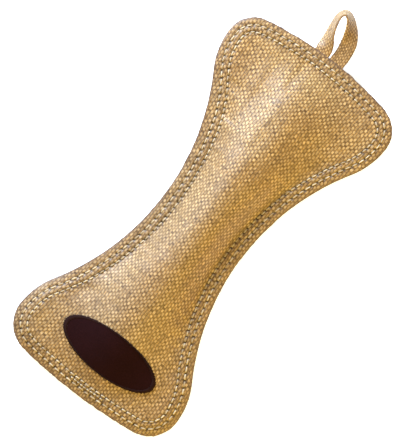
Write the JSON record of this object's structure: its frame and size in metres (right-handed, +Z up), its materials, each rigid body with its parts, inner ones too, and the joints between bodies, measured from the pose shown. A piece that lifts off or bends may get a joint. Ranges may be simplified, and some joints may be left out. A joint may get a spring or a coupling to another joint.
{
  "type": "training bumper",
  "caption": "Bone-shaped stuffed jute training bumper for dogs, sewn flat round its edge, with a dark oval patch and a tape loop to hang or throw it by.",
  "frame": {"origin": "middle of the flat of the belly that the bumper rests on", "axes": "+X along the body towards the hanging loop, +Y across the body, +Z up through its thickness"},
  "size_m": [0.3065, 0.1288, 0.0308],
  "materials": {
    "jute": "coarse plain weave, slight sheen",
    "lining": "thin matt cloth",
    "fibre": "loose polyester fibre",
    "seam_thread": "heavy waxed thread",
    "patch": "dense matt felt",
    "patch_thread": "dark thread",
    "tape": "woven jute tape"
  },
  "bodies": {
    "body": {"top_panel": "jute", "bottom_panel": "jute", "top_lining": "lining", "bottom_lining": "lining", "filling": "fibre", "outer_seam_needle_thread": "seam_thread", "outer_seam_bobbin_thread": "seam_thread", "inner_seam_needle_thread": "seam_thread", "inner_seam_bobbin_thread": "seam_thread", "closing_needle_thread": "seam_thread", "closing_bobbin_thread": "seam_thread", "oval_patch": "patch", "patch_thread": "patch_thread", "loop_tails": "tape"},
    "loop": {"hanging_loop": "tape"}
  },
  "joints": [
    {"name": "loop_swing", "type": "hinge", "parent": "body", "child": "loop", "pos_m": [0.1389, 0.001, 0.014], "axis": [0, 1, 0], "range_deg": [-70, 70], "stiffness_Nm_per_rad": 0.005}
  ]
}
